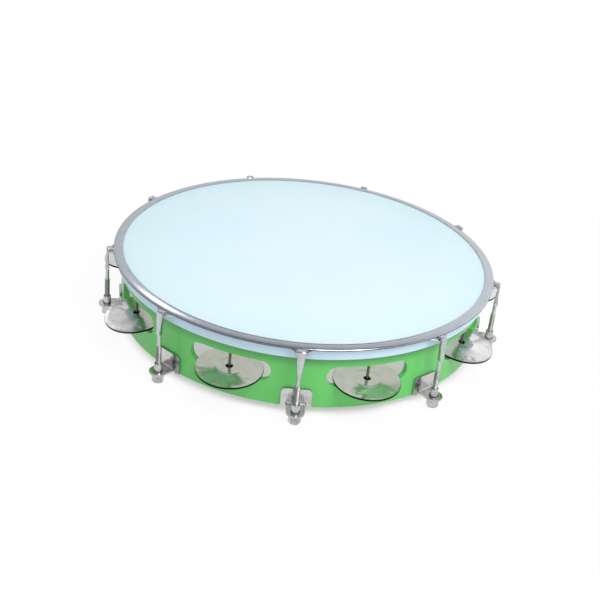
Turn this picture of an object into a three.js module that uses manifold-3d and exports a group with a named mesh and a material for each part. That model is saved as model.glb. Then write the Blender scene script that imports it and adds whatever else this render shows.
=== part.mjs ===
// Dafli: a tunable frame drum with jingles.
// Millimetres, +Z up. The origin is on the drum's axis, level with the lower ends of the nuts.

import * as THREE from "three";
import { mergeVertices } from "three/addons/utils/BufferGeometryUtils.js";
import Module from "manifold-3d";

const wasm = await Module();
wasm.setup();

// Pattern: a hook stands on the -Y side, and a jingle slot lies midway between two hooks.
const bayCount = 9;
const firstHookAngle = -Math.PI / 2;

// Facet counts
const ringFacets = 63;
const discFacets = 18;
const pinFacets = 6;
const rodFacets = 10;
const sleeveFacets = 10;
const hexSides = 6;
const edgeSteps = 1;
const arcSteps = 2;
const roundEndSteps = 4;

// Clearances
const touchGap = 0.3;
const clawGap = 0.5;
const cutOverrun = 3;

// Tension nuts
const hexCornerRadius = 4.6;
const hexHeight = 7.3;
const hexEndRadius = 3.5;
const hexChamferHeight = 0.8;
const sleeveRadius = 3;
const sleeveLength = 8.3;
const nutFloor = 2;
const rodPlay = 0.3;

// Hook bolts
const hookReach = 4.3;
const rodRadius = 2;
const rodEndGap = 1;
const threadShare = 0.48;
const neckRadius = 1.45;
const neckShare = 0.15;
const bladeWidth = 5.4;
const bladeThickness = 1.8;
const bladeTaperShare = 0.305;
const clawThickness = 1.5;
const clawBendRadius = 1.5;
const clawTipWidth = 1.5;
const clawTipDip = 1.4;

// Brackets
const bracketThickness = 1.5;
const plateWidth = 22.2;
const plateHeight = 15.8;
const plateCornerRadius = 3.5;
const wingDrop = 1.8;
const tongueWidth = 13.3;
const tongueBendRadius = 1.2;
const notchWidth = 1.5;
const notchRise = 1.6;
const sleeveHolePlay = 0.6;

// Shell
const shellOuterRadius = 145.7;
const shellWall = 5;
const shellHeight = 51.4;
const bearingEdgeRadius = 4;
const slotLength = 61.6;
const slotHeight = 15.9;
const slotRiseShare = 0.35;
const slotCornerShare = 0.45;

// Film head and the flat hoop inside its fold
const filmThickness = 0.4;
const fleshHoopThickness = 1.8;
const fleshHoopHeight = 8;

// Rim and its looped ears
const rimOverhang = 6.8;
const rimWidth = 7.2;
const rimThickness = 1.8;
const rimRise = 0.7;
const rimChamferWidth = 1.3;
const rimChamferDrop = 0.8;
const earBaseWidth = 17.6;
const earRootDepth = 3.5;
const earShoulderDepth = 0.4;
const earBarLength = 9.2;
const earBarWidth = 2.2;
const earCornerRadius = 1.2;
const earHoleDepth = 2.5;
const earHoleInnerWidth = 11;
const earHoleOuterWidth = 7.6;

// Jingle pins: a nail through the middle of the wall
const pinRadius = 1;
const pinHeadRadius = 1.8;
const pinHeadHeight = 0.8;
const pinDepthShare = 0.57;

// Jingle discs: dished sheet with a raised centre, in pairs that face each other
const discRadius = 24.5;
const discHoleRadius = 2.75;
const discThickness = 0.5;
const discBossRadius = 9;
const discBossHeight = 0.9;

// How far each pair leans out of its slot, in degrees, from the slot after the first hook round
const jingleDroops = [1, 7, 6, 3, 8, 4, 7, 11, 5];

// Heights and radii that follow from the sizes above
const tongueBottom = hexHeight + touchGap;
const tongueTop = tongueBottom + bracketThickness;
const shellBottom = tongueBottom - wingDrop;
const shellTop = shellBottom + shellHeight;
const shellInnerRadius = shellOuterRadius - shellWall;
const wallMiddleRadius = shellOuterRadius - shellWall / 2;
const slotBottom = shellBottom + shellHeight * slotRiseShare;
const slotTop = slotBottom + slotHeight;
const slotCornerRadius = slotHeight * slotCornerShare;
const pinTop = slotTop + (shellTop - slotTop) * pinDepthShare;
const filmUnder = shellTop + touchGap;
const filmTop = filmUnder + filmThickness;
const rimTop = filmTop + rimRise;
const rimBottom = rimTop - rimThickness;
const rimOuterRadius = shellOuterRadius + rimOverhang;
const rimInnerRadius = rimOuterRadius - rimWidth;
const tensionRadius = rimOuterRadius + hookReach;
const earBarOuter = tensionRadius - bladeThickness / 2 - clawGap;
const earHoleOuter = earBarOuter - earBarWidth;
const earHoleInner = earHoleOuter - earHoleDepth;
const nutTop = hexHeight + sleeveLength;
const rodEnd = nutFloor + rodEndGap;
const clawUnder = rimTop + touchGap;
const clawTop = clawUnder + clawThickness;
const hookHeight = clawTop - rodEnd;
const threadTop = rodEnd + hookHeight * threadShare;
const neckTop = threadTop + hookHeight * neckShare;
const bladeTaperTop = neckTop + hookHeight * bladeTaperShare;
const plateInnerRadius = shellOuterRadius + touchGap;
const plateOuterRadius = plateInnerRadius + bracketThickness;
const plateTop = shellBottom + plateHeight;
const discDepth = discThickness + discBossHeight;

// Materials
const green = new THREE.MeshStandardMaterial({ color: 0x5fb95f, roughness: 0.3, metalness: 0 });
const film = new THREE.MeshStandardMaterial({ color: 0xddf4fe, roughness: 0.35, metalness: 0 });
const chrome = new THREE.MeshStandardMaterial({ color: 0xb9bcc4, roughness: 0.18, metalness: 1 });
const steel = new THREE.MeshStandardMaterial({ color: 0x8f9296, roughness: 0.4, metalness: 1 });
const nickel = new THREE.MeshStandardMaterial({ color: 0xc9c6bd, roughness: 0.15, metalness: 1 });

// The closed surface of a geometry as a solid that can be joined and cut
function solidOf(geometry) {
  const bare = geometry.clone();
  bare.deleteAttribute("normal");
  bare.deleteAttribute("uv");
  const merged = mergeVertices(bare);
  return new wasm.Manifold(
    new wasm.Mesh({
      numProp: 3,
      vertProperties: merged.attributes.position.array,
      triVerts: Uint32Array.from(merged.index.array),
    }),
  );
}

function geometryOf(solid) {
  const mesh = solid.getMesh();
  const geometry = new THREE.BufferGeometry();
  geometry.setAttribute("position", new THREE.BufferAttribute(mesh.vertProperties, 3));
  geometry.setIndex(new THREE.BufferAttribute(mesh.triVerts, 1));
  geometry.computeVertexNormals();
  return geometry;
}

// An outline in radius and height, turned about the Z axis
function revolve(outline, facets, steps = arcSteps) {
  const geometry = new THREE.LatheGeometry(outline.getPoints(steps), facets);
  geometry.rotateX(Math.PI / 2);
  return geometry;
}

function extrude(outline, depth, steps) {
  return new THREE.ExtrudeGeometry(outline, { depth, bevelEnabled: false, curveSegments: steps });
}

// An outline in X and Y, raised from one height to another
function plan(outline, bottom, top, steps = arcSteps) {
  return extrude(outline, top - bottom, steps).translate(0, 0, bottom);
}

// An outline in X and Z, as wide as given and centred on the XZ plane
function side(outline, width, steps = arcSteps) {
  const geometry = extrude(outline, width, steps).translate(0, 0, -width / 2);
  return geometry.rotateX(Math.PI / 2);
}

// An outline in Y and Z, running along X from one radius to another
function front(outline, near, far, steps = arcSteps) {
  const geometry = extrude(outline, far - near, steps).translate(0, 0, near);
  return geometry.rotateY(Math.PI / 2).rotateX(Math.PI / 2);
}

// An upright round bar about its own axis
function bar(radius, bottom, top, facets) {
  const geometry = new THREE.CylinderGeometry(radius, radius, top - bottom, facets);
  return geometry.rotateX(Math.PI / 2).translate(0, 0, (top + bottom) / 2);
}

function hookAngle(index) {
  return firstHookAngle + (index * 2 * Math.PI) / bayCount;
}

function slotAngle(index) {
  return hookAngle(index) + Math.PI / bayCount;
}

// A rectangle with round corners, given by its four sides
function roundedRectangle(left, bottom, right, top, radius) {
  const outline = new THREE.Shape();
  outline.moveTo(left + radius, bottom);
  outline.lineTo(right - radius, bottom);
  outline.absarc(right - radius, bottom + radius, radius, -Math.PI / 2, 0);
  outline.absarc(right - radius, top - radius, radius, 0, Math.PI / 2);
  outline.absarc(left + radius, top - radius, radius, Math.PI / 2, Math.PI);
  outline.absarc(left + radius, bottom + radius, radius, Math.PI, 1.5 * Math.PI);
  outline.closePath();
  return outline;
}

// Green ring with a rounded bearing edge, nine slots, and the nail holes up through its wall
function shellGeometry() {
  const outline = new THREE.Shape();
  const edgeHeight = shellTop - bearingEdgeRadius;
  const edgeCentre = shellOuterRadius - bearingEdgeRadius;
  outline.moveTo(shellInnerRadius, shellBottom);
  outline.lineTo(shellOuterRadius, shellBottom);
  outline.absarc(edgeCentre, edgeHeight, bearingEdgeRadius, 0, Math.PI / 2);
  outline.lineTo(shellInnerRadius, shellTop);
  outline.closePath();
  let shell = solidOf(revolve(outline, ringFacets, edgeSteps));

  const slotHalf = slotLength / 2;
  const slot = roundedRectangle(-slotHalf, slotBottom, slotHalf, slotTop, slotCornerRadius);
  const nearRadius = Math.sqrt(shellInnerRadius ** 2 - slotHalf ** 2) - cutOverrun;
  const farRadius = shellOuterRadius + cutOverrun;
  const holeRadius = pinRadius + touchGap;
  const holeTop = pinTop + touchGap;
  const recessRadius = pinHeadRadius + touchGap;
  const recessTop = shellBottom + pinHeadHeight + touchGap;
  for (let i = 0; i < bayCount; i++) {
    const cutters = [
      front(slot, nearRadius, farRadius),
      bar(holeRadius, shellBottom - cutOverrun, holeTop, pinFacets).translate(wallMiddleRadius, 0, 0),
      bar(recessRadius, shellBottom - cutOverrun, recessTop, pinFacets).translate(wallMiddleRadius, 0, 0),
    ];
    for (const cutter of cutters) {
      shell = shell.subtract(solidOf(cutter.rotateZ(slotAngle(i))));
    }
  }
  return geometryOf(shell);
}

// Film over the bearing edge, down the shell, under the flat hoop and up its outer side
function headGeometry() {
  const edgeHeight = shellTop - bearingEdgeRadius;
  const edgeCentre = shellOuterRadius - bearingEdgeRadius;
  const innerBend = bearingEdgeRadius + touchGap;
  const outerBend = innerBend + filmThickness;
  const innerSkirt = edgeCentre + innerBend;
  const innerSkirtFace = edgeCentre + outerBend;
  const outerSkirtFace = innerSkirtFace + fleshHoopThickness + 2 * touchGap;
  const outerSkirt = outerSkirtFace + filmThickness;
  const skirtTop = rimBottom - touchGap;
  const foldInside = skirtTop - fleshHoopHeight - touchGap;
  const foldUnder = foldInside - filmThickness;

  const outline = new THREE.Path();
  outline.moveTo(0, filmUnder);
  outline.lineTo(edgeCentre, filmUnder);
  outline.absarc(edgeCentre, edgeHeight, innerBend, Math.PI / 2, 0, true);
  outline.lineTo(innerSkirt, foldUnder);
  outline.lineTo(outerSkirt, foldUnder);
  outline.lineTo(outerSkirt, skirtTop);
  outline.lineTo(outerSkirtFace, skirtTop);
  outline.lineTo(outerSkirtFace, foldInside);
  outline.lineTo(innerSkirtFace, foldInside);
  outline.absarc(edgeCentre, edgeHeight, outerBend, 0, Math.PI / 2);
  outline.lineTo(0, filmTop);
  return revolve(outline, ringFacets, edgeSteps);
}

function fleshHoopGeometry() {
  const innerRadius = shellOuterRadius + touchGap + filmThickness + touchGap;
  const outerRadius = innerRadius + fleshHoopThickness;
  const top = rimBottom - touchGap;
  const outline = new THREE.Path();
  outline.moveTo(innerRadius, top - fleshHoopHeight);
  outline.lineTo(outerRadius, top - fleshHoopHeight);
  outline.lineTo(outerRadius, top);
  outline.lineTo(innerRadius, top);
  outline.lineTo(innerRadius, top - fleshHoopHeight);
  return revolve(outline, ringFacets);
}

// A tab on the rim's edge whose sides close in to a bar that a claw hooks over
function earOutline() {
  const root = rimOuterRadius - earRootDepth;
  const shoulder = rimOuterRadius - earShoulderDepth;
  const barHalf = earBarLength / 2;
  const baseHalf = earBaseWidth / 2;
  const cornerX = earBarOuter - earCornerRadius;
  const cornerY = barHalf - earCornerRadius;
  const outline = new THREE.Shape();
  outline.moveTo(root, -baseHalf);
  outline.lineTo(shoulder, -baseHalf);
  outline.absarc(cornerX, -cornerY, earCornerRadius, -Math.PI / 3, 0);
  outline.absarc(cornerX, cornerY, earCornerRadius, 0, Math.PI / 3);
  outline.lineTo(shoulder, baseHalf);
  outline.lineTo(root, baseHalf);
  outline.closePath();
  return outline;
}

function earHoleOutline() {
  const outline = new THREE.Shape();
  outline.moveTo(earHoleInner, -earHoleInnerWidth / 2);
  outline.lineTo(earHoleOuter, -earHoleOuterWidth / 2);
  outline.lineTo(earHoleOuter, earHoleOuterWidth / 2);
  outline.lineTo(earHoleInner, earHoleInnerWidth / 2);
  outline.closePath();
  return outline;
}

// Pressed ring with a round outer edge, a sloped inner edge and nine looped ears
function rimGeometry() {
  const edgeRadius = rimThickness / 2;
  const edgeCentre = rimOuterRadius - edgeRadius;
  const outline = new THREE.Shape();
  outline.moveTo(rimInnerRadius, rimBottom);
  outline.lineTo(edgeCentre, rimBottom);
  outline.absarc(edgeCentre, rimBottom + edgeRadius, edgeRadius, -Math.PI / 2, Math.PI / 2);
  outline.lineTo(rimInnerRadius + rimChamferWidth, rimTop);
  outline.lineTo(rimInnerRadius, rimTop - rimChamferDrop);
  outline.closePath();
  let rim = solidOf(revolve(outline, ringFacets));
  for (let i = 0; i < bayCount; i++) {
    const ear = plan(earOutline(), rimBottom, rimTop).rotateZ(hookAngle(i));
    rim = rim.add(solidOf(ear));
  }
  for (let i = 0; i < bayCount; i++) {
    const hole = plan(earHoleOutline(), rimBottom - cutOverrun, rimTop + cutOverrun).rotateZ(hookAngle(i));
    rim = rim.subtract(solidOf(hole));
  }
  return geometryOf(rim);
}

// Seen from the side: the blade, thicker at the neck, bent over the ear's bar and down into its hole
function hookSideOutline() {
  const face = bladeThickness / 2;
  const tipMiddle = earHoleOuter - earHoleDepth / 2 - tensionRadius;
  const tipFar = tipMiddle - clawTipWidth / 2;
  const tipNear = tipMiddle + clawTipWidth / 2;
  const tipBottom = rimTop - clawTipDip;
  const bendHeight = clawTop - clawBendRadius;
  const outline = new THREE.Shape();
  outline.moveTo(neckRadius, neckTop);
  outline.lineTo(face, bladeTaperTop);
  outline.absarc(face - clawBendRadius, bendHeight, clawBendRadius, 0, Math.PI / 2);
  outline.absarc(tipFar + clawBendRadius, bendHeight, clawBendRadius, Math.PI / 2, Math.PI);
  outline.lineTo(tipFar, tipBottom);
  outline.lineTo(tipNear, tipBottom);
  outline.lineTo(tipNear, clawUnder);
  outline.lineTo(-face, clawUnder);
  outline.lineTo(-face, bladeTaperTop);
  outline.lineTo(-neckRadius, neckTop);
  outline.closePath();
  return outline;
}

// Seen from the front: the blade's taper from the neck to its full width
function hookFrontOutline() {
  const half = bladeWidth / 2;
  const outline = new THREE.Shape();
  outline.moveTo(-neckRadius, neckTop);
  outline.lineTo(neckRadius, neckTop);
  outline.lineTo(half, bladeTaperTop);
  outline.lineTo(half, clawTop + cutOverrun);
  outline.lineTo(-half, clawTop + cutOverrun);
  outline.lineTo(-half, bladeTaperTop);
  outline.closePath();
  return outline;
}

// Flat blade with a claw, round neck and threaded rod, about the rod's axis
function hookBoltGeometry() {
  const reach = tensionRadius - earHoleInner + cutOverrun;
  const seen = solidOf(side(hookSideOutline(), bladeWidth + cutOverrun));
  const blade = seen.intersect(solidOf(front(hookFrontOutline(), -reach, reach)));
  const neck = solidOf(bar(neckRadius, threadTop - neckRadius, neckTop + neckRadius, rodFacets));
  const rod = solidOf(bar(rodRadius, rodEnd, threadTop, rodFacets));
  return geometryOf(blade.add(neck).add(rod));
}

// Curved plate with two wings, and between them a tongue bent out to carry the nut
function bracketGeometry() {
  const half = plateWidth / 2;
  const notchHalf = tongueWidth / 2 + notchWidth;
  const notchTop = tongueTop + tongueBendRadius + notchRise;
  const corner = plateCornerRadius;
  const plateOutline = new THREE.Shape();
  plateOutline.moveTo(-half, shellBottom);
  plateOutline.lineTo(-notchHalf, shellBottom);
  plateOutline.lineTo(-notchHalf, notchTop);
  plateOutline.lineTo(notchHalf, notchTop);
  plateOutline.lineTo(notchHalf, shellBottom);
  plateOutline.lineTo(half, shellBottom);
  plateOutline.absarc(half - corner, plateTop - corner, corner, 0, Math.PI / 2);
  plateOutline.absarc(-half + corner, plateTop - corner, corner, Math.PI / 2, Math.PI);
  plateOutline.closePath();

  const ringOutline = new THREE.Path();
  ringOutline.moveTo(plateInnerRadius, shellBottom - cutOverrun);
  ringOutline.lineTo(plateOuterRadius, shellBottom - cutOverrun);
  ringOutline.lineTo(plateOuterRadius, plateTop + cutOverrun);
  ringOutline.lineTo(plateInnerRadius, plateTop + cutOverrun);
  ringOutline.lineTo(plateInnerRadius, shellBottom - cutOverrun);
  const near = shellInnerRadius;
  const far = plateOuterRadius + cutOverrun;
  const ring = solidOf(revolve(ringOutline, ringFacets));
  const plate = ring.intersect(solidOf(front(plateOutline, near, far)));

  const bendX = plateOuterRadius + tongueBendRadius;
  const bendZ = tongueTop + tongueBendRadius;
  const legTop = notchTop + bracketThickness;
  const tip = tensionRadius + tongueWidth;
  const tongueSide = new THREE.Shape();
  tongueSide.moveTo(plateOuterRadius, legTop);
  tongueSide.lineTo(plateOuterRadius, bendZ);
  tongueSide.absarc(bendX, bendZ, tongueBendRadius, Math.PI, 1.5 * Math.PI);
  tongueSide.lineTo(tip, tongueTop);
  tongueSide.lineTo(tip, tongueBottom);
  tongueSide.absarc(bendX, bendZ, tongueBendRadius + bracketThickness, 1.5 * Math.PI, Math.PI, true);
  tongueSide.lineTo(plateInnerRadius, legTop);
  tongueSide.closePath();

  const tonguePlan = new THREE.Shape();
  tonguePlan.moveTo(near, -tongueWidth / 2);
  tonguePlan.lineTo(tensionRadius, -tongueWidth / 2);
  tonguePlan.absarc(tensionRadius, 0, tongueWidth / 2, -Math.PI / 2, Math.PI / 2);
  tonguePlan.lineTo(near, tongueWidth / 2);
  tonguePlan.closePath();
  const hole = new THREE.Path();
  hole.absarc(tensionRadius, 0, sleeveRadius + sleeveHolePlay, 0, 2 * Math.PI, true);
  tonguePlan.holes.push(hole);

  const bent = solidOf(side(tongueSide, tongueWidth + cutOverrun));
  const cutOut = plan(tonguePlan, tongueBottom - cutOverrun, plateTop, roundEndSteps);
  return geometryOf(plate.add(bent.intersect(solidOf(cutOut))));
}

// Hexagon with a chamfered closed end, and a sleeve that stands up through the tongue
function tensionNutGeometry() {
  const hexOutline = new THREE.Path();
  hexOutline.moveTo(0, 0);
  hexOutline.lineTo(hexEndRadius, 0);
  hexOutline.lineTo(hexCornerRadius, hexChamferHeight);
  hexOutline.lineTo(hexCornerRadius, hexHeight);
  hexOutline.lineTo(0, hexHeight);
  const hexagon = solidOf(revolve(hexOutline, hexSides));
  const sleeve = solidOf(bar(sleeveRadius, hexHeight / 2, nutTop, sleeveFacets));
  const bore = solidOf(bar(rodRadius + rodPlay, nutFloor, nutTop + cutOverrun, rodFacets));
  return geometryOf(hexagon.add(sleeve).subtract(bore));
}

function jinglePinGeometry() {
  const headTop = shellBottom + pinHeadHeight;
  const outline = new THREE.Path();
  outline.moveTo(0, shellBottom);
  outline.lineTo(pinHeadRadius, shellBottom);
  outline.lineTo(pinHeadRadius, headTop);
  outline.lineTo(pinRadius, headTop);
  outline.lineTo(pinRadius, pinTop);
  outline.lineTo(0, pinTop);
  return revolve(outline, pinFacets);
}

// Flat flange on the XY plane, rising to the hole in a low cone
function jingleGeometry() {
  const outline = new THREE.Path();
  outline.moveTo(discHoleRadius, discBossHeight);
  outline.lineTo(discBossRadius, 0);
  outline.lineTo(discRadius, 0);
  outline.lineTo(discRadius, discThickness);
  outline.lineTo(discBossRadius, discThickness);
  outline.lineTo(discHoleRadius, discDepth);
  outline.lineTo(discHoleRadius, discBossHeight);
  return revolve(outline, discFacets);
}

function addPiece(parent, name, geometry, material) {
  const mesh = new THREE.Mesh(geometry, material);
  mesh.name = name;
  parent.add(mesh);
  return mesh;
}

// Hook bolt, bracket and nut of one tension point, on the +X side of their own group
function addTensionPoint(parent, index, geometries) {
  const point = new THREE.Group();
  point.rotation.z = hookAngle(index);
  parent.add(point);
  const label = index + 1;
  addPiece(point, "bracket_" + label, geometries.bracket, chrome);
  const hook = addPiece(point, "hook_bolt_" + label, geometries.hookBolt, chrome);
  const nut = addPiece(point, "tension_nut_" + label, geometries.tensionNut, chrome);
  hook.position.x = tensionRadius;
  nut.position.x = tensionRadius;
}

// A pair leans on the slot's lower outer edge, about the point where its seam crosses the pin
function addJinglePair(parent, index, geometries) {
  const bay = new THREE.Group();
  bay.rotation.z = slotAngle(index);
  parent.add(bay);
  const label = index + 1;
  const pin = addPiece(bay, "jingle_pin_" + label, geometries.jinglePin, steel);
  pin.position.x = wallMiddleRadius;

  const droop = THREE.MathUtils.degToRad(jingleDroops[index]);
  const edgeReach = shellOuterRadius - wallMiddleRadius;
  const seamRise = touchGap + discDepth / Math.cos(droop) + edgeReach * Math.tan(droop);
  const pair = new THREE.Group();
  pair.position.set(wallMiddleRadius, 0, slotBottom + seamRise);
  pair.rotation.y = droop;
  bay.add(pair);
  const lower = addPiece(pair, "jingle_lower_" + label, geometries.jingle, nickel);
  lower.rotation.x = Math.PI;
  const upper = addPiece(pair, "jingle_upper_" + label, geometries.jingle, nickel);
  upper.position.z = touchGap;
}

const repeated = {
  bracket: bracketGeometry(),
  hookBolt: hookBoltGeometry(),
  tensionNut: tensionNutGeometry(),
  jinglePin: jinglePinGeometry(),
  jingle: jingleGeometry(),
};

const dafli = new THREE.Group();
addPiece(dafli, "shell", shellGeometry(), green);
addPiece(dafli, "flesh_hoop", fleshHoopGeometry(), steel);
addPiece(dafli, "head", headGeometry(), film);
addPiece(dafli, "rim", rimGeometry(), chrome);
for (let i = 0; i < bayCount; i++) {
  addTensionPoint(dafli, i, repeated);
  addJinglePair(dafli, i, repeated);
}

export default dafli;
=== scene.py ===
"""Dafli: a tunable frame drum with jingles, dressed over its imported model."""
import logging
import math
from collections.abc import Callable, Sequence
from dataclasses import dataclass
from enum import Enum

import bmesh
import bpy
from mathutils import Matrix, Vector


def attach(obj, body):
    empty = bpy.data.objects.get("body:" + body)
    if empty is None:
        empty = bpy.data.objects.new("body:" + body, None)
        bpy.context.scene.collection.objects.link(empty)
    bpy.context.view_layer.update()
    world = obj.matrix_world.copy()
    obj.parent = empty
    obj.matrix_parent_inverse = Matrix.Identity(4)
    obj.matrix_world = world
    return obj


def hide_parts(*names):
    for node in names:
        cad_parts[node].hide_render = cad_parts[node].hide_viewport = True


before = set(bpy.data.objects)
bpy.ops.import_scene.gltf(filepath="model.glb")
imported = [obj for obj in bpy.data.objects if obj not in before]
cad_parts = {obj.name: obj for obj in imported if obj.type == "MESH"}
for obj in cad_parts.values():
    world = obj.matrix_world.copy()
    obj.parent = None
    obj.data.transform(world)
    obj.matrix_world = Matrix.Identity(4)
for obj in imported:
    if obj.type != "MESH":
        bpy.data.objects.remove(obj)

LOG = logging.getLogger("dafli")
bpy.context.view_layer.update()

Colour = tuple[float, float, float]
Spot = tuple[float, float]
Test = Callable[[Vector, Vector], bool]

FULL_TURN = 2 * math.pi
SAME_POINT = 1e-6
WHITE = (1.0, 1.0, 1.0, 1.0)

# The spans that most values of a fine and of a soft noise fall in
GRAIN_SPAN: Spot = (0.3, 0.7)
CLOUD_SPAN: Spot = (0.35, 0.65)


class Cut(Enum):
    """How a tool shape works on a piece."""

    AWAY = "DIFFERENCE"
    KEEP = "INTERSECT"
    ADD = "UNION"


class Bench:
    """The workbench: one piece at a time under Blender's own modelling operators."""

    @staticmethod
    def rest() -> None:
        """Leaves edit mode and deselects everything."""
        if bpy.context.object is not None and bpy.context.object.mode != "OBJECT":
            bpy.ops.object.mode_set(mode="OBJECT")
        bpy.ops.object.select_all(action="DESELECT")

    @classmethod
    def hold(cls, *pieces: bpy.types.Object) -> None:
        """Selects these pieces alone, the first one active.

        Args:
            pieces: the objects to select.
        """
        cls.rest()
        for piece in pieces:
            piece.select_set(True)
        bpy.context.view_layer.objects.active = pieces[0]

    @classmethod
    def edit(cls, piece: bpy.types.Object) -> None:
        """Opens one piece in edit mode with nothing of it selected.

        Args:
            piece: the mesh object to open.
        """
        cls.hold(piece)
        bpy.ops.object.mode_set(mode="EDIT")
        bpy.ops.mesh.select_all(action="DESELECT")

    @staticmethod
    def pick(piece: bpy.types.Object, test: Test) -> None:
        """Selects the points that pass a test, in edit mode.

        Args:
            piece: the mesh object that is open.
            test: called with the place and the normal of each point.
        """
        bpy.ops.mesh.select_mode(type="VERT")
        mesh = bmesh.from_edit_mesh(piece.data)
        for point in mesh.verts:
            if test(point.co, point.normal):
                point.select_set(True)
        mesh.select_flush_mode()
        bmesh.update_edit_mesh(piece.data)

    @classmethod
    def line(cls, name: str, points: Sequence[Vector], closed: bool = True) -> bpy.types.Object:
        """Draws a chain of edges by extruding one point from place to place.

        Args:
            name: the new object's name.
            points: the places, in order.
            closed: whether the last place joins the first.

        Returns:
            The new object, in object mode.
        """
        cls.rest()
        bpy.ops.mesh.primitive_plane_add(size=0.001, location=(0, 0, 0))
        piece = bpy.context.object
        piece.name = name
        piece.data.name = name
        bpy.ops.object.mode_set(mode="EDIT")
        bpy.ops.mesh.select_all(action="SELECT")
        bpy.ops.mesh.merge(type="CENTER")
        bpy.ops.mesh.select_mode(type="VERT")
        bpy.ops.mesh.select_all(action="SELECT")
        bpy.ops.transform.translate(value=points[0])
        path = [*points, points[0]] if closed else list(points)
        for here, there in zip(path, path[1:]):
            bpy.ops.mesh.extrude_region_move(TRANSFORM_OT_translate={"value": there - here})
        bpy.ops.mesh.select_all(action="SELECT")
        bpy.ops.mesh.remove_doubles(threshold=SAME_POINT)
        cls.rest()
        return piece

    @classmethod
    def prism(cls, name: str, outline: Sequence[Vector], reach: Vector) -> bpy.types.Object:
        """Fills a closed outline and pulls it out into a solid.

        Args:
            name: the new object's name.
            outline: the corners, in one plane.
            reach: how far and which way it is pulled.

        Returns:
            The new object.
        """
        piece = cls.line(name, outline)
        cls.edit(piece)
        bpy.ops.mesh.select_all(action="SELECT")
        bpy.ops.mesh.edge_face_add()
        bpy.ops.mesh.select_mode(type="FACE")
        bpy.ops.mesh.select_all(action="SELECT")
        bpy.ops.mesh.extrude_region_move(TRANSFORM_OT_translate={"value": reach})
        bpy.ops.mesh.select_all(action="SELECT")
        bpy.ops.mesh.normals_make_consistent(inside=False)
        cls.rest()
        return piece

    @classmethod
    def lathe(cls, name: str, profile: Sequence[Spot], steps: int, sweep: float = FULL_TURN) -> bpy.types.Object:
        """Turns a closed profile about the Z axis.

        Args:
            name: the new object's name.
            profile: corners as radius and height.
            steps: how many faces the turn is made of.
            sweep: the angle of the turn, centred on the X axis where it isn't a full one.

        Returns:
            The new object.
        """
        full = math.isclose(sweep, FULL_TURN)
        start = 0.0 if full else -sweep / 2
        aside = Matrix.Rotation(start, 3, "Z")
        piece = cls.line(name, [aside @ Vector((r, 0, z)) for r, z in profile])
        cls.edit(piece)
        bpy.ops.mesh.select_all(action="SELECT")
        if not full:
            bpy.ops.mesh.edge_face_add()
            bpy.ops.mesh.select_all(action="SELECT")
        bpy.ops.mesh.spin(steps=steps, angle=-sweep, center=(0, 0, 0), axis=(0, 0, 1))
        cls.rest()
        cls.weld(piece)
        return piece

    @classmethod
    def cylinder(cls, name: str, sides: int, radius: float, depth: float, middle: Vector) -> bpy.types.Object:
        """Adds an upright cylinder with its place held in its mesh.

        Args:
            name: the new object's name.
            sides: how many sides it has.
            radius: the distance of its corners from its axis.
            depth: its height.
            middle: the place of its middle.

        Returns:
            The new object.
        """
        cls.rest()
        bpy.ops.mesh.primitive_cylinder_add(vertices=sides, radius=radius, depth=depth, location=middle)
        piece = bpy.context.object
        piece.name = name
        bpy.ops.object.transform_apply(location=True, rotation=True, scale=True)
        return piece

    @classmethod
    def weld(cls, piece: bpy.types.Object, gap: float = 2e-6) -> None:
        """Merges doubles, drops faces without area and turns all faces outwards.

        Args:
            piece: the mesh object.
            gap: the distance under which two points become one.
        """
        cls.edit(piece)
        bpy.ops.mesh.select_all(action="SELECT")
        bpy.ops.mesh.remove_doubles(threshold=gap)
        bpy.ops.mesh.dissolve_degenerate(threshold=gap / 2)
        bpy.ops.mesh.select_all(action="SELECT")
        bpy.ops.mesh.normals_make_consistent(inside=False)
        cls.rest()

    @classmethod
    def finish_with(cls, piece: bpy.types.Object, kind: str, **settings: object) -> None:
        """Adds a modifier and applies it.

        Args:
            piece: the object.
            kind: the modifier's type.
            settings: its settings.
        """
        cls.hold(piece)
        modifier = piece.modifiers.new(kind.title(), kind)
        for key, value in settings.items():
            setattr(modifier, key, value)
        bpy.ops.object.modifier_apply(modifier=modifier.name)

    @classmethod
    def work(cls, piece: bpy.types.Object, tool: bpy.types.Object, how: Cut) -> None:
        """Cuts, keeps or adds a tool shape, which is then thrown away.

        Args:
            piece: the object that is worked on.
            tool: the shape that works on it.
            how: what the tool does.
        """
        cls.finish_with(piece, "BOOLEAN", object=tool, operation=how.value, solver="EXACT")
        bpy.data.objects.remove(tool)

    @classmethod
    def soften(cls, piece: bpy.types.Object, width: float, segments: int, corner: float) -> None:
        """Rounds every edge that is sharper than a given corner.

        Args:
            piece: the object.
            width: the size of the round.
            segments: how many faces it has.
            corner: the least angle in degrees.
        """
        cls.finish_with(
            piece, "BEVEL", width=width, segments=segments, limit_method="ANGLE",
            angle_limit=math.radians(corner), miter_outer="MITER_ARC", use_clamp_overlap=True,
        )

    @classmethod
    def smooth(cls, piece: bpy.types.Object, corner: float) -> None:
        """Smooth shading, with corners sharper than the given one left crisp.

        Args:
            piece: the object.
            corner: the angle in degrees.
        """
        cls.hold(piece)
        bpy.ops.object.shade_smooth_by_angle(angle=math.radians(corner))

    @classmethod
    def shade(cls, piece: bpy.types.Object, corner: float) -> None:
        """Smooth shading that also keeps broad faces flat beside their rounded edges.

        Args:
            piece: the object.
            corner: the angle in degrees above which an edge is left crisp.
        """
        cls.smooth(piece, corner)
        cls.finish_with(piece, "WEIGHTED_NORMAL", keep_sharp=True, weight=80)

    @classmethod
    def join(cls, *pieces: bpy.types.Object) -> bpy.types.Object:
        """Makes one object of several, named as the first.

        Args:
            pieces: the objects.

        Returns:
            The first object, which holds them all.
        """
        cls.hold(*pieces)
        bpy.ops.object.join()
        cls.rest()
        return pieces[0]

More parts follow.
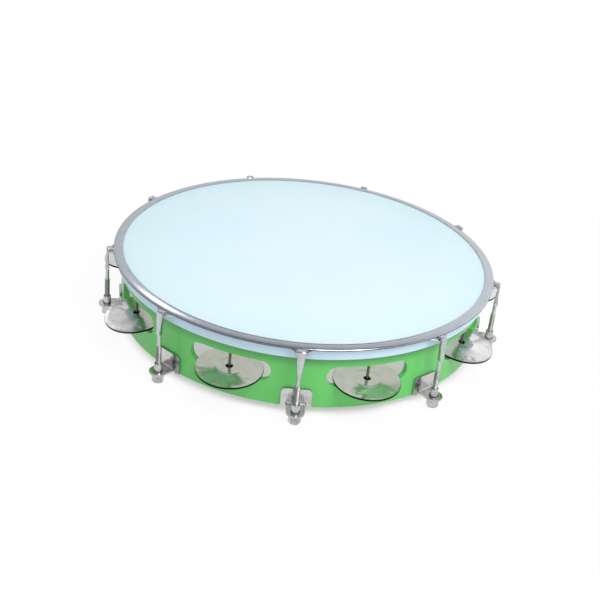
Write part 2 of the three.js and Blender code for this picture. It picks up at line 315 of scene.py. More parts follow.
    @staticmethod
    def copy(source: bpy.types.Object, name: str, place: Matrix) -> bpy.types.Object:
        """Copies a piece with a mesh of its own, set at its place.

        Args:
            source: the piece that was modelled.
            name: the copy's name.
            place: where it goes, held in the mesh.

        Returns:
            The copy, whose object stays at the origin.
        """
        made = source.copy()
        made.data = source.data.copy()
        made.name = name
        made.data.name = name
        made.data.transform(place)
        bpy.context.scene.collection.objects.link(made)
        return made

    @staticmethod
    def discard(*pieces: bpy.types.Object) -> None:
        """Removes the pieces that others were copied from."""
        for piece in pieces:
            bpy.data.objects.remove(piece)

    @staticmethod
    def dress(piece: bpy.types.Object, *materials: bpy.types.Material) -> None:
        """Gives a piece its materials, in slot order."""
        piece.data.materials.clear()
        for material in materials:
            piece.data.materials.append(material)

    @staticmethod
    def paint(piece: bpy.types.Object, index: int, test: Test) -> None:
        """Gives the faces that pass a test another material slot.

        Args:
            piece: the object.
            index: the slot's number.
            test: called with each face's middle and normal.
        """
        for face in piece.data.polygons:
            if test(face.center, face.normal):
                face.material_index = index


def arc(centre: Spot, radius: float, start: float, end: float, steps: int) -> list[Spot]:
    """Points along an arc.

    Args:
        centre: the arc's centre.
        radius: its radius.
        start: the first angle in degrees.
        end: the last angle in degrees.
        steps: how many chords it has.

    Returns:
        The points, both ends included.
    """
    angles = [math.radians(start + (end - start) * i / steps) for i in range(steps + 1)]
    return [(centre[0] + radius * math.cos(a), centre[1] + radius * math.sin(a)) for a in angles]


def rounded_box(left: float, low: float, right: float, high: float, corner: float, steps: int) -> list[Spot]:
    """The outline of a rectangle with round corners.

    Args:
        left: the left side.
        low: the lower side.
        right: the right side.
        high: the upper side.
        corner: the corners' radius.
        steps: how many chords each corner has.

    Returns:
        The outline's points, in order.
    """
    return [
        *arc((right - corner, low + corner), corner, -90, 0, steps),
        *arc((right - corner, high - corner), corner, 0, 90, steps),
        *arc((left + corner, high - corner), corner, 90, 180, steps),
        *arc((left + corner, low + corner), corner, 180, 270, steps),
    ]


@dataclass(frozen=True)
class Pattern:
    """Where the nine bays stand, and how far each jingle pair leans out of its slot."""

    bays: int = 9
    first_hook: float = -90.0
    droops: tuple[float, ...] = (2.0, 7.0, 6.0, 3.0, 8.0, 4.0, 7.0, 11.0, 4.0)

    def hook_turn(self, index: float) -> Matrix:
        """The turn about Z that takes a piece on +X to a hook."""
        return Matrix.Rotation(math.radians(self.first_hook + 360 / self.bays * index), 4, "Z")

    def slot_turn(self, index: int) -> Matrix:
        """The turn about Z that takes a piece on +X to a slot, half a bay past its hook."""
        return self.hook_turn(index + 0.5)


PATTERN = Pattern()


class NodeSheet:
    """A node tree that is filled node by node."""

    def __init__(self, tree: bpy.types.NodeTree) -> None:
        """Empties the tree.

        Args:
            tree: the tree of a material or a world.
        """
        self.nodes = tree.nodes
        self.links = tree.links
        self.nodes.clear()

    def add(self, kind: str, inputs: dict[str | int, object] | None = None, **settings: object) -> bpy.types.Node:
        """Adds a node.

        Args:
            kind: the node's type.
            inputs: sockets to link or to set.
            settings: the node's own settings.

        Returns:
            The node.
        """
        node = self.nodes.new(kind)
        for key, value in settings.items():
            setattr(node, key, value)
        for key, value in (inputs or {}).items():
            if isinstance(value, bpy.types.NodeSocket):
                self.links.new(value, node.inputs[key])
            else:
                node.inputs[key].default_value = value
        return node

    def ramp(self, value: bpy.types.NodeSocket, stops: Sequence[tuple[float, Colour]]) -> bpy.types.NodeSocket:
        """Looks a value up in a row of colours.

        Args:
            value: the value.
            stops: the places and their colours, in order.

        Returns:
            The colour.
        """
        node = self.add("ShaderNodeValToRGB", {"Fac": value})
        elements = node.color_ramp.elements
        while len(elements) < len(stops):
            elements.new(1.0)
        for element, (place, colour) in zip(elements, stops):
            element.position = place
            element.color = (*colour, 1.0)
        return node.outputs["Color"]


class Recipe(NodeSheet):
    """A material's node tree, laid out from its surface back."""

    def __init__(self, name: str) -> None:
        """Starts an empty tree with a surface.

        Args:
            name: the material's name.
        """
        self.material = bpy.data.materials.new(name)
        self.material.use_nodes = True
        super().__init__(self.material.node_tree)
        self.surface = self.add("ShaderNodeBsdfPrincipled")
        self.output = self.add("ShaderNodeOutputMaterial", {"Surface": self.surface.outputs["BSDF"]})
        self.place = self.add("ShaderNodeTexCoord")

    def set(self, **values: float) -> None:
        """Sets constant sockets of the surface, with spaces written as underscores.

        Args:
            values: the sockets and their values.
        """
        for key, value in values.items():
            self.surface.inputs[key.replace("_", " ")].default_value = value

    def noise(self, scale: float, detail: float = 2.0, rough: float = 0.5) -> bpy.types.NodeSocket:
        """Noise on the piece's own coordinates.

        Args:
            scale: how many waves there are in a metre.
            detail: how many octaves it has.
            rough: how strong the finer ones are.

        Returns:
            The noise's value.
        """
        where = self.place.outputs["Object"]
        node = self.add("ShaderNodeTexNoise", {"Vector": where, "Scale": scale, "Detail": detail, "Roughness": rough})
        return node.outputs["Fac"]

    def spread(self, value: bpy.types.NodeSocket, span: Spot, onto: Spot = (0.0, 1.0)) -> bpy.types.NodeSocket:
        """Maps a value from one range to another.

        Args:
            value: the socket.
            span: the range that the value is read in.
            onto: the range that it is spread over.

        Returns:
            The mapped value.
        """
        node = self.add(
            "ShaderNodeMapRange",
            {"Value": value, "From Min": span[0], "From Max": span[1], "To Min": onto[0], "To Max": onto[1]},
        )
        return node.outputs["Result"]

    def blend(
        self, amount: bpy.types.NodeSocket, first: Colour | bpy.types.NodeSocket, second: Colour,
    ) -> bpy.types.NodeSocket:
        """Mixes two colours by an amount.

        Args:
            amount: 0 for the first, 1 for the second.
            first: a colour, fixed or linked.
            second: a fixed colour.

        Returns:
            The mixed colour.
        """
        start = first if isinstance(first, bpy.types.NodeSocket) else (*first, 1.0)
        node = self.add("ShaderNodeMix", {0: amount, 6: start, 7: (*second, 1.0)}, data_type="RGBA")
        return node.outputs[2]

    def bump(
        self, height: bpy.types.NodeSocket, distance: float, strength: float,
        under: bpy.types.NodeSocket | None = None,
    ) -> bpy.types.NodeSocket:
        """A bump from a height.

        Args:
            height: the height's value.
            distance: the depth of a full step, in metres.
            strength: how much of it shows.
            under: another bump that this one lies on.

        Returns:
            The normal.
        """
        inputs: dict[str | int, object] = {"Height": height, "Distance": distance, "Strength": strength}
        if under is not None:
            inputs["Normal"] = under
        return self.add("ShaderNodeBump", inputs).outputs["Normal"]

    def drive(self, socket: str, value: bpy.types.NodeSocket) -> None:
        """Links a value to one of the surface's sockets."""
        self.links.new(value, self.surface.inputs[socket])


@dataclass(frozen=True)
class Enamel:
    """Glossy green enamel with a soft orange peel and faint waves, and painted shade towards the collar."""

    deep: Colour = (0.105, 0.474, 0.106)
    light: Colour = (0.112, 0.500, 0.112)
    collar_shade: Colour = (0.064, 0.270, 0.072)
    collar_shade_reach: Spot = (0.0385, 0.0468)
    collar_shade_share: float = 0.9
    gloss: Spot = (0.32, 0.38)
    gloss_scale: float = 70.0
    peel_scale: float = 420.0
    peel_depth: float = 0.0002
    wave_scale: float = 18.0
    wave_depth: float = 0.004

    def make(self) -> bpy.types.Material:
        """Builds the material."""
        r = Recipe("shell_enamel")
        r.set(Coat_Weight=0.2, Coat_Roughness=0.10, IOR=1.42)
        paint = r.blend(r.spread(r.noise(self.wave_scale, 3.0), CLOUD_SPAN), self.deep, self.light)
        height = r.add("ShaderNodeSeparateXYZ", {"Vector": r.place.outputs["Object"]}).outputs["Z"]
        # Painted shade: the paint darkens upwards over the band just under the collar, where the collar's shadow
        # falls.
        painted_shade = r.spread(height, self.collar_shade_reach, (0.0, self.collar_shade_share))
        r.drive("Base Color", r.blend(painted_shade, paint, self.collar_shade))
        r.drive("Roughness", r.spread(r.noise(self.gloss_scale, 3.0), GRAIN_SPAN, self.gloss))
        waves = r.bump(r.noise(self.wave_scale, 1.0), self.wave_depth, 0.02)
        r.drive("Normal", r.bump(r.noise(self.peel_scale, 1.0), self.peel_depth, 0.08, waves))
        return r.material


@dataclass(frozen=True)
class Film:
    """Milky film with a faint grain, pale blue unless told otherwise."""

    name: str
    base: Colour = (0.700, 0.890, 0.995)
    haze: Colour = (0.725, 0.905, 0.998)
    through: float = 0.0
    glow: Colour = (0.90, 0.93, 0.93)
    haze_scale: float = 14.0
    gloss: Spot = (0.38, 0.5)
    gloss_scale: float = 90.0
    grain_scale: float = 1600.0
    grain_depth: float = 0.0001

    def make(self) -> bpy.types.Material:
        """Builds the material."""
        r = Recipe(self.name)
        r.set(IOR=1.45, Specular_IOR_Level=0.35)
        cloud = r.spread(r.noise(self.haze_scale, 4.0, 0.6), CLOUD_SPAN)
        r.drive("Base Color", r.blend(cloud, self.base, self.haze))
        r.drive("Roughness", r.spread(r.noise(self.gloss_scale, 4.0), GRAIN_SPAN, self.gloss))
        r.drive("Normal", r.bump(r.noise(self.grain_scale), self.grain_depth, 0.12))
        if self.through > 0:
            lit = r.add("ShaderNodeBsdfTranslucent", {"Color": (*self.glow, 1.0)})
            shares = {0: self.through, 1: r.surface.outputs["BSDF"], 2: lit.outputs["BSDF"]}
            mixed = r.add("ShaderNodeMixShader", shares)
            r.links.new(mixed.outputs["Shader"], r.output.inputs["Surface"])
        return r.material


@dataclass(frozen=True)
class Plating:
    """Bright plating over pressed steel: soft ripples, fine scratches and a little tarnish."""

    name: str
    base: Colour
    tarnish: Colour
    gloss: float = 0.16
    ripple: float = 0.10
    tarnish_share: float = 0.5
    tarnish_span: Spot = (0.42, 0.72)
    tarnish_scale: float = 120.0
    gloss_scale: float = 700.0
    ripple_scale: float = 150.0
    ripple_depth: float = 0.0006
    scratch_scale: float = 2600.0
    scratch_depth: float = 0.00004

    def make(self) -> bpy.types.Material:
        """Builds the material."""
        r = Recipe(self.name)
        r.set(Metallic=1.0)
        cloud = r.spread(r.noise(self.tarnish_scale, 5.0, 0.6), self.tarnish_span, (0.0, self.tarnish_share))
        r.drive("Base Color", r.blend(cloud, self.base, self.tarnish))
        sheen = (self.gloss * 0.7, self.gloss * 1.4)
        r.drive("Roughness", r.spread(r.noise(self.gloss_scale, 3.0), GRAIN_SPAN, sheen))
        ripples = r.bump(r.noise(self.ripple_scale), self.ripple_depth, self.ripple)
        r.drive("Normal", r.bump(r.noise(self.scratch_scale), self.scratch_depth, 0.2, ripples))
        return r.material


@dataclass(frozen=True)
class TurnedSheet:
    """Polished nickel sheet with faint rings from its spinning, read from the disc's own map."""

    name: str
    base: Colour
    stain: Colour
    stain_span: Spot = (0.40, 0.66)
    stain_scale: float = 150.0
    metal: float = 0.96
    gloss: float = 0.18
    ring_scale: float = 260.0
    ring_depth: float = 0.00003
    dents: float = 0.42
    dent_scale: float = 75.0
    dent_depth: float = 0.0012

    def make(self) -> bpy.types.Material:
        """Builds the material."""
        r = Recipe(self.name)
        r.set(Metallic=self.metal)
        stains = r.spread(r.noise(self.stain_scale, 5.0, 0.65), self.stain_span)
        r.drive("Base Color", r.blend(stains, self.base, self.stain))
        middle = r.add("ShaderNodeVectorMath", {0: r.place.outputs["UV"], 1: (0.5, 0.5, 0.0)}, operation="SUBTRACT")
        reach = r.add("ShaderNodeVectorMath", {0: middle.outputs["Vector"]}, operation="LENGTH")
        spun = {"W": reach.outputs["Value"], "Scale": self.ring_scale, "Detail": 3.0}
        rings = r.add("ShaderNodeTexNoise", spun, noise_dimensions="1D").outputs["Fac"]
        r.drive("Roughness", r.spread(rings, GRAIN_SPAN, (self.gloss * 0.8, self.gloss * 1.3)))
        ripples = r.bump(r.noise(self.dent_scale, 1.5), self.dent_depth, self.dents)
        r.drive("Normal", r.bump(rings, self.ring_depth, 0.25, ripples))
        return r.material


@dataclass(frozen=True)
class DarkSteel:
    """Steel gone dark for the nails and inner hoop; painted shade on the rim's roll, the ear holes and the jingle
    edges.
    """

    name: str
    base: Colour
    rust: Colour
    rough: float = 0.45
    metal: float = 0.9
    rust_share: float = 0.8
    rust_span: Spot = (0.4, 0.7)
    rust_scale: float = 380.0
    rough_scale: float = 900.0
    grain_scale: float = 1900.0
    grain_depth: float = 0.00005

    def make(self) -> bpy.types.Material:
        """Builds the material."""
        r = Recipe(self.name)
        r.set(Metallic=self.metal)
        spots = r.spread(r.noise(self.rust_scale, 5.0, 0.6), self.rust_span, (0.0, self.rust_share))
        r.drive("Base Color", r.blend(spots, self.base, self.rust))
        sheen = (self.rough * 0.8, self.rough * 1.25)
        r.drive("Roughness", r.spread(r.noise(self.rough_scale, 3.0), GRAIN_SPAN, sheen))
        r.drive("Normal", r.bump(r.noise(self.grain_scale, 3.0), self.grain_depth, 0.4))
        return r.material


class Finishes:
    """Every material of the drum, made once."""

    def __init__(self) -> None:
        """Makes the materials."""
        self.enamel = Enamel().make()
        self.film = Film("head_film", through=0.34).make()
        self.film_back = Film(
            "head_film_back", (0.97, 0.91, 0.84), (0.98, 0.93, 0.86), through=0.9, glow=(1.0, 0.945, 0.87),
        ).make()
        # The collar is the same film as the head, given a darker colour: painted shade for its upright face.
        self.collar = Film("collar_film_shaded", (0.475, 0.63, 0.74), (0.515, 0.67, 0.77)).make()
        self.rim = Plating("rim_plating", (0.54, 0.575, 0.635), (0.435, 0.47, 0.53), gloss=0.12, ripple=0.05).make()
        self.hook = Plating("hook_plating", (0.57, 0.59, 0.63), (0.35, 0.35, 0.35), gloss=0.15).make()
        self.bracket = Plating(
            "bracket_plating", (0.60, 0.60, 0.60), (0.31, 0.28, 0.25), gloss=0.17, ripple=0.2,
        ).make()
        # The nuts' heavy dark tarnish is partly real tarnish and partly painted shade, for the dark they mirror under
        # the drum.
        self.nut = Plating("nut_plating", (0.54, 0.55, 0.57), (0.20, 0.19, 0.18), gloss=0.12, tarnish_share=0.7).make()
        self.thread = Plating("thread_plating", (0.46, 0.45, 0.44), (0.24, 0.22, 0.20), gloss=0.42).make()
        # Painted shade for the rim: the dark line under its rolled edge and the dark linings of the ears' holes.
        self.seam = DarkSteel("rim_painted_shade", (0.105, 0.11, 0.13), (0.055, 0.055, 0.065), rough=0.35).make()
        self.blade_edge = Plating("cut_edge_plating", (0.50, 0.50, 0.51), (0.22, 0.21, 0.20), gloss=0.20).make()
        self.jingle = TurnedSheet("jingle_nickel", (0.84, 0.84, 0.84), (0.745, 0.74, 0.715)).make()
        # Painted shade for the jingles: their dark edges, holes and the gap between each pair.
        self.jingle_edge_shade = DarkSteel("jingle_edge_painted_shade", (0.030, 0.029, 0.028), (0.050, 0.042, 0.034)).make()
        self.nail = DarkSteel("nail_steel", (0.12, 0.12, 0.12), (0.07, 0.06, 0.05), rough=0.3).make()
        self.hoop = DarkSteel("hoop_steel", (0.36, 0.36, 0.37), (0.20, 0.16, 0.12)).make()


def stand(piece: bpy.types.Object, body: str, slot: str, *nodes: str) -> None:
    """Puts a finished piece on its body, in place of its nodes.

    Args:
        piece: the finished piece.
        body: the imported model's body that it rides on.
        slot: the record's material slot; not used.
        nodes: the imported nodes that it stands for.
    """
    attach(piece, body)
    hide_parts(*nodes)
    LOG.info("%s rides on %s", piece.name, body)


@dataclass
class Shell:
    """The green ring with its rounded bearing edge, nine jingle slots and the nail holes."""

    outer: float = 0.1457
    wall: float = 0.005
    bottom: float = 0.0058
    top: float = 0.0576
    bearing: float = 0.002
    foot_round: float = 0.0006
    slot_half: float = 0.0308
    slot_low: float = 0.02379
    slot_high: float = 0.03969
    slot_corner: float = 0.007155
    slot_round: float = 0.0005
    slot_weld: float = 2e-5
    hole: float = 0.0013
    hole_top: float = 0.04997
    hole_weld: float = 5e-6
    tool_over: float = 0.003
    steps: int = 360

    def profile(self) -> list[Spot]:
        """The wall's section as radius and height."""
        inner = self.outer - self.wall
        soft = self.foot_round
        return [
            (inner + soft, self.bottom), (self.outer - soft, self.bottom), (self.outer, self.bottom + soft),
            *arc((self.outer - self.bearing, self.top - self.bearing), self.bearing, 0, 90, 8),
            (inner + soft, self.top), (inner, self.top - soft), (inner, self.bottom + soft),
        ]

    def slots(self) -> bpy.types.Object:
        """The nine shapes that cut the slots, as one tool."""
        inner = self.outer - self.wall
        near = math.sqrt(inner**2 - self.slot_half**2) - self.tool_over
        reach = Vector((self.outer + self.tool_over - near, 0, 0))
        outline = rounded_box(-self.slot_half, self.slot_low, self.slot_half, self.slot_high, self.slot_corner, 10)
        first = Bench.prism("slot_tool", [Vector((near, y, z)) for y, z in outline], reach)
        tools = [Bench.copy(first, f"slot_tool_{i}", PATTERN.slot_turn(i)) for i in range(PATTERN.bays)]
        Bench.discard(first)
        return Bench.join(*tools)

    def nail_holes(self) -> bpy.types.Object:
        """The nine shapes that drill the wall for the nails, as one tool."""
        length = self.hole_top - self.bottom + self.tool_over
        middle = Vector((self.outer - self.wall / 2, 0, self.hole_top - length / 2))
        tools = []
        for i in range(PATTERN.bays):
            tool = Bench.cylinder(f"nail_hole_{i}", 16, self.hole, length, middle)
            tool.data.transform(PATTERN.slot_turn(i))
            tools.append(tool)
        return Bench.join(*tools)

    def build(self, finishes: Finishes) -> None:
        """Makes and dresses the shell.

        Args:
            finishes: the materials.
        """
        piece = Bench.lathe("green_shell", self.profile(), self.steps)
        Bench.work(piece, self.slots(), Cut.AWAY)
        Bench.weld(piece, self.slot_weld)
        Bench.soften(piece, self.slot_round, segments=2, corner=60)
        Bench.work(piece, self.nail_holes(), Cut.AWAY)
        Bench.weld(piece, self.hole_weld)
        Bench.shade(piece, 40)
        Bench.dress(piece, finishes.enamel)
        stand(piece, "drum", "shell", "shell")


@dataclass
class Head:
    """The film over the bearing edge, folded round the flat hoop below the rim."""

    edge_centre: float = 0.1437
    edge_height: float = 0.0556
    under_bend: float = 0.0023
    over_bend: float = 0.0027
    under: float = 0.0579
    over: float = 0.0583
    rings: tuple[float, ...] = (0.0, 0.05, 0.1)
    outer_face: float = 0.1488
    outer: float = 0.1492
    fold_inside: float = 0.0482
    fold_under: float = 0.0478
    fold_round: float = 0.0009
    top: float = 0.0565
    top_round: float = 0.0002
    collar_start: float = 0.1462
    back_low: float = 0.0569
    steps: int = 360

    def profile(self) -> list[Spot]:
        """The film's section as radius and height."""
        soft, tip = self.fold_round, self.top_round
        thin = soft - (self.fold_inside - self.fold_under)
        skirt, face = self.edge_centre + self.under_bend, self.edge_centre + self.over_bend
        return [
            *[(r, self.under) for r in self.rings],
            *arc((self.edge_centre, self.edge_height), self.under_bend, 90, 0, 8),
            *arc((skirt + soft, self.fold_under + soft), soft, 180, 270, 4),
            *arc((self.outer - soft, self.fold_under + soft), soft, 270, 360, 5),
            *arc((self.outer - tip, self.top - tip), tip, 0, 90, 2),
            *arc((self.outer_face + tip, self.top - tip), tip, 90, 180, 2),
            *arc((self.outer_face - thin, self.fold_inside + thin), thin, 0, -90, 3),
            *arc((face + thin, self.fold_inside + thin), thin, 270, 180, 3),
            *arc((self.edge_centre, self.edge_height), self.over_bend, 0, 90, 10),
            *[(r, self.over) for r in reversed(self.rings)],
        ]

    def is_collar(self, middle: Vector, normal: Vector) -> bool:
        """Whether a face lies on the part that turns down outside the shell."""
        return middle.xy.length > self.collar_start

    def is_back(self, middle: Vector, normal: Vector) -> bool:
        """Whether a face lies on the back of the flat film."""
        return normal.z < -0.5 and middle.z > self.back_low

    def build(self, finishes: Finishes) -> None:
        """Makes and dresses the head, and gives the hoop inside it its steel.

        Args:
            finishes: the materials.
        """
        piece = Bench.lathe("film_head", self.profile(), self.steps)
        Bench.smooth(piece, 35)
        Bench.dress(piece, finishes.film, finishes.film_back, finishes.collar)
        # The collar takes the darker film, which is painted shade.
        Bench.paint(piece, 2, self.is_collar)
        Bench.paint(piece, 1, self.is_back)
        stand(piece, "drum", "film", "head")
        Bench.dress(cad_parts["flesh_hoop"], finishes.hoop)
        LOG.info("flesh_hoop keeps its packed shape")


@dataclass
class Rim:
    """The pressed ring that falls away outwards and rolls over at its edge, with a lip inside and nine looped ears."""

    # The under side from inside outwards, as radius and height, clear of the film that turns down under it
    under_side: tuple[Spot, ...] = (
        (0.1451, 0.0581), (0.1459, 0.0577), (0.1466, 0.0570), (0.1469, 0.0565), (0.1502, 0.0565), (0.1512, 0.05665),
    )
    # The rolled edge from the flat's end, as steps outwards and down
    roll: tuple[Spot, ...] = (
        (0.0005, 0.00012), (0.0009, 0.00030), (0.00115, 0.00056), (0.00125, 0.00085), (0.00125, 0.00122),
        (0.0010, 0.00138),
    )
    flat_start: float = 0.1466
    flat_end: float = 0.1510
    flat_high: float = 0.05862
    flat_fall: Spot = (4.0, 10.0)
    flat_steps: int = 6
    # The lip from the flat inwards, as radius and height
    lip: tuple[Spot, ...] = (
        (0.14648, 0.05856), (0.14622, 0.05858), (0.14605, 0.05874), (0.14588, 0.0588), (0.1453, 0.0588),
        (0.14508, 0.05872), (0.1450, 0.0585), (0.1450, 0.0582),
    )
    # Faces of the rolled edge that face up less than this get painted shade
    roll_shade_tilt: float = 0.42
    ear_low: float = 0.05655
    ear_top: float = 0.0577
    ear_tilt: float = 0.22
    ear_root: float = 0.1490
    ear_shoulder: float = 0.1521
    shoulder_cut: Spot = (0.0010, 0.0006)
    ear_base: float = 0.0176
    ear_bar_outer: float = 0.1556
    ear_bar_length: float = 0.0092
    ear_corner: float = 0.0012
    ear_round: float = 0.00045
    hole_inner: float = 0.1507
    hole_outer: float = 0.1545
    hole_inner_width: float = 0.0090
    hole_outer_width: float = 0.0074
    hole_low: float = 0.0545
    hole_depth: float = 0.006
    hole_margin: float = 0.0008
    hole_tilt: float = 0.6
    steps: int = 360

    def flat(self) -> list[Spot]:
        """The broad upper face from inside outwards, steeper step by step."""
        points = [(self.flat_start, self.flat_high)]
        step = (self.flat_end - self.flat_start) / self.flat_steps
        first, last = self.flat_fall
        for i in range(self.flat_steps):
            fall = first + (last - first) * (i + 0.5) / self.flat_steps
            points.append((points[-1][0] + step, points[-1][1] - step * math.tan(math.radians(fall))))
        return points

    def profile(self) -> list[Spot]:
        """The ring's section as radius and height."""
        flat = self.flat()
        edge, high = flat[-1]
        roll = [(edge + out, high - down) for out, down in self.roll]
        return [*self.under_side, *reversed(roll), *reversed(flat), *self.lip]

    def is_roll_shade(self, middle: Vector, normal: Vector) -> bool:
        """Whether a face lies on the upright part of the rolled edge or under it, where painted shade draws a dark
        line.
        """
        return middle.xy.length > self.flat_end and normal.z < self.roll_shade_tilt

    def is_hole(self, middle: Vector, normal: Vector) -> bool:
        """Whether a face of the ear on +X lines its hole, which gets painted shade."""
        within = self.hole_inner - self.hole_margin < middle.x < self.hole_outer + self.hole_margin
        beside = abs(middle.y) < self.hole_inner_width / 2 + self.hole_margin
        return within and beside and abs(normal.z) < self.hole_tilt

    def ear(self) -> bpy.types.Object:
        """One looped ear on +X."""
        half, bar, corner = self.ear_base / 2, self.ear_bar_length / 2, self.ear_corner
        shoulder, tip = self.ear_shoulder, self.ear_bar_outer - corner
        back, aside = self.shoulder_cut
        outline = [
            (self.ear_root, -half), (shoulder - back, -half), (shoulder, -half + aside),
            *arc((tip, -bar + corner), corner, -60, 0, 5),
            *arc((tip, bar - corner), corner, 0, 60, 5),
            (shoulder, half - aside), (shoulder - back, half), (self.ear_root, half),
        ]
        rise = Vector((0, 0, self.ear_top - self.ear_low))
        piece = Bench.prism("ear", [Vector((x, y, self.ear_low)) for x, y in outline], rise)
        inner, outer = self.hole_inner_width / 2, self.hole_outer_width / 2
        hole = [
            (self.hole_inner, -inner), (self.hole_outer, -outer), (self.hole_outer, outer), (self.hole_inner, inner),
        ]
        through = Vector((0, 0, self.hole_depth))
        tool = Bench.prism("ear_hole", [Vector((x, y, self.hole_low)) for x, y in hole], through)
        Bench.work(piece, tool, Cut.AWAY)
        Bench.soften(piece, self.ear_round, segments=3, corner=50)
        pulled = Matrix.Identity(4)
        pulled[2][0], pulled[2][3] = -self.ear_tilt, self.ear_tilt * self.ear_root
        piece.data.transform(pulled)
        return piece

    def build(self, finishes: Finishes) -> None:
        """Makes and dresses the rim.

        Args:
            finishes: the materials.
        """
        ring = Bench.lathe("rim_ring", self.profile(), self.steps)
        Bench.shade(ring, 50)
        Bench.dress(ring, finishes.rim, finishes.seam)
        # Painted shade: a dark line on the upright part of the rolled edge and under it.
        Bench.paint(ring, 1, self.is_roll_shade)
        first = self.ear()
        Bench.shade(first, 40)
        Bench.dress(first, finishes.rim, finishes.seam)
        # Painted shade: the linings of the ears' holes are dark, so the holes read as dark gaps beside the claws.
        Bench.paint(first, 1, self.is_hole)
        ears = [Bench.copy(first, f"ear_{i}", PATTERN.hook_turn(i)) for i in range(PATTERN.bays)]
        Bench.discard(first)
        piece = Bench.join(ring, *ears)
        piece.name = "plated_rim"
        stand(piece, "drum", "rim_chrome", "rim")


@dataclass
class TensionPoints:
    """Hook bolts, brackets and nuts, nine of each, modelled once on +X and copied round."""

    reach: float = 0.1568
    tool_over: float = 0.002

    rod: float = 0.0020
    rod_end: float = 0.0030
    thread_root: float = 0.00162
    thread_pitch: float = 0.0007
    thread_top: float = 0.03055
    thread_lead: float = 0.0006
    thread_fade: float = 0.0004
    # How far down its pitch the tooth's crest starts and ends
    tooth: Spot = (0.55, 0.42)
    # The rod's end, its core and the neck, as radius and height
    core: tuple[Spot, ...] = (
        (0.0, 0.0030), (0.0015, 0.0030), (0.0019, 0.0034), (0.0019, 0.0038), (0.00165, 0.0042), (0.00165, 0.02975),
        (0.0019, 0.03015), (0.0018, 0.03055), (0.00145, 0.03115), (0.00145, 0.03976), (0.00116, 0.04036),
        (0.0, 0.04036),
    )

    # The blade from the side: its outside upwards, the claw's tip, and its inside downwards
    blade_outside: tuple[Spot, ...] = (
        (0.0012325, 0.03916), (0.00203, 0.03976), (0.0015225, 0.04266), (0.001008, 0.0485), (0.0009, 0.0545),
    )
    claw_tip: tuple[Spot, ...] = (
        (-0.00422, 0.0558), (-0.00392, 0.0555), (-0.00308, 0.0555), (-0.00278, 0.0558), (-0.00278, 0.0563),
        (-0.00238, 0.0567), (-0.0014, 0.0567), (-0.0009, 0.0562),
    )
    blade_inside: tuple[Spot, ...] = (
        (-0.0009, 0.0545), (-0.001008, 0.0485), (-0.0013775, 0.04266), (-0.001595, 0.03986), (-0.001305, 0.03916),
    )
    # Its right half from the front, upwards
    blade_front: tuple[Spot, ...] = (
        (0.00145, 0.03816), (0.00145, 0.04066), (0.00255, 0.0505), (0.0027, 0.0545), (0.0027, 0.0600),
    )
    blade_clear: float = 0.02
    blade_round: float = 0.00028
    blade_weld: float = 1e-5
    blade_low: float = 0.04116
    claw_top: float = 0.0580
    claw_bend: float = 0.0012

    plate_inner: float = 0.1460
    plate_outer: float = 0.1475
    plate_half: float = 0.0111
    plate_low: float = 0.0058
    plate_high: float = 0.0216
    plate_corner: float = 0.0035
    plate_aside: float = 0.001
    plate_clear: float = 0.006
    foot_cut: float = 0.0004
    tongue_half: float = 0.00665
    tongue_low: float = 0.0076
    tongue_high: float = 0.0091
    tongue_bend: float = 0.0012
    tongue_cut: Spot = (0.004, 0.024)
    tongue_hole: float = 0.0036
    drill_depth: float = 0.01
    notch: float = 0.0007
    notch_rise: float = 0.0008
    notch_round: float = 0.0007
    bracket_round: float = 0.0003
    bracket_weld: float = 2e-5
    edge_margin: float = 0.0002

    hex_corner: float = 0.0046
    hex_top: float = 0.0073
    hex_round: float = 0.00018
    # The turning that chamfers the hexagon, and the bored sleeve, as radius and height
    turning: tuple[Spot, ...] = (
        (0.0, 0.0), (0.0035, 0.0), (0.004623, 0.0008), (0.004623, 0.0068), (0.00414, 0.0073), (0.0, 0.0073),
    )
    sleeve: tuple[Spot, ...] = (
        (0.0023, 0.0063), (0.0030, 0.0063), (0.0030, 0.0151), (0.00285, 0.01545), (0.0026, 0.0156),
        (0.0025, 0.0156), (0.0023, 0.0154),
    )

    def blade(self) -> bpy.types.Object:
        """The flat blade, thicker at the neck, with the claw bent over at its top."""
        bend, height = self.claw_bend, self.claw_top - self.claw_bend
        face, far = self.blade_outside[-1][0], self.claw_tip[0][0]
        side = [
            *self.blade_outside,
            *arc((face - bend, height), bend, 0, 90, 8),
            *arc((far + bend, height), bend, 90, 180, 8),
            *self.claw_tip, *self.blade_inside,
        ]
        wide = self.blade_front[-1][0] + self.tool_over
        piece = Bench.prism("blade", [Vector((x, -wide, z)) for x, z in side], Vector((0, 2 * wide, 0)))
        left = [(-y, z) for y, z in self.blade_front]
        front = [left[0], *self.blade_front, *reversed(left[1:])]
        near, through = -self.blade_clear, Vector((2 * self.blade_clear, 0, 0))
        tool = Bench.prism("blade_front", [Vector((near, y, z)) for y, z in front], through)
        Bench.work(piece, tool, Cut.KEEP)
        Bench.weld(piece, self.blade_weld)
        Bench.soften(piece, self.blade_round, segments=2, corner=45)
        return piece

    def threaded_rod(self) -> bpy.types.Object:
        """The thread, wound from one tooth, with its end and the neck above it."""
        pitch, root = self.thread_pitch, self.thread_root
        turns = math.floor((self.thread_top - self.rod_end - self.thread_lead) / pitch)
        start = self.thread_top - self.thread_fade - turns * pitch
        low, high = (start - pitch * share for share in self.tooth)
        corners = [(root, start - pitch), (self.rod, low), (self.rod, high), (root, start)]
        thread = Bench.line("thread", [Vector((r, 0, z)) for r, z in corners], closed=False)
        Bench.finish_with(
            thread, "SCREW", angle=FULL_TURN, screw_offset=pitch, iterations=turns, steps=14, render_steps=14,
            use_merge_vertices=True, merge_threshold=SAME_POINT, use_normal_calculate=True,
        )
        return Bench.join(thread, Bench.lathe("rod_core", self.core, 20))

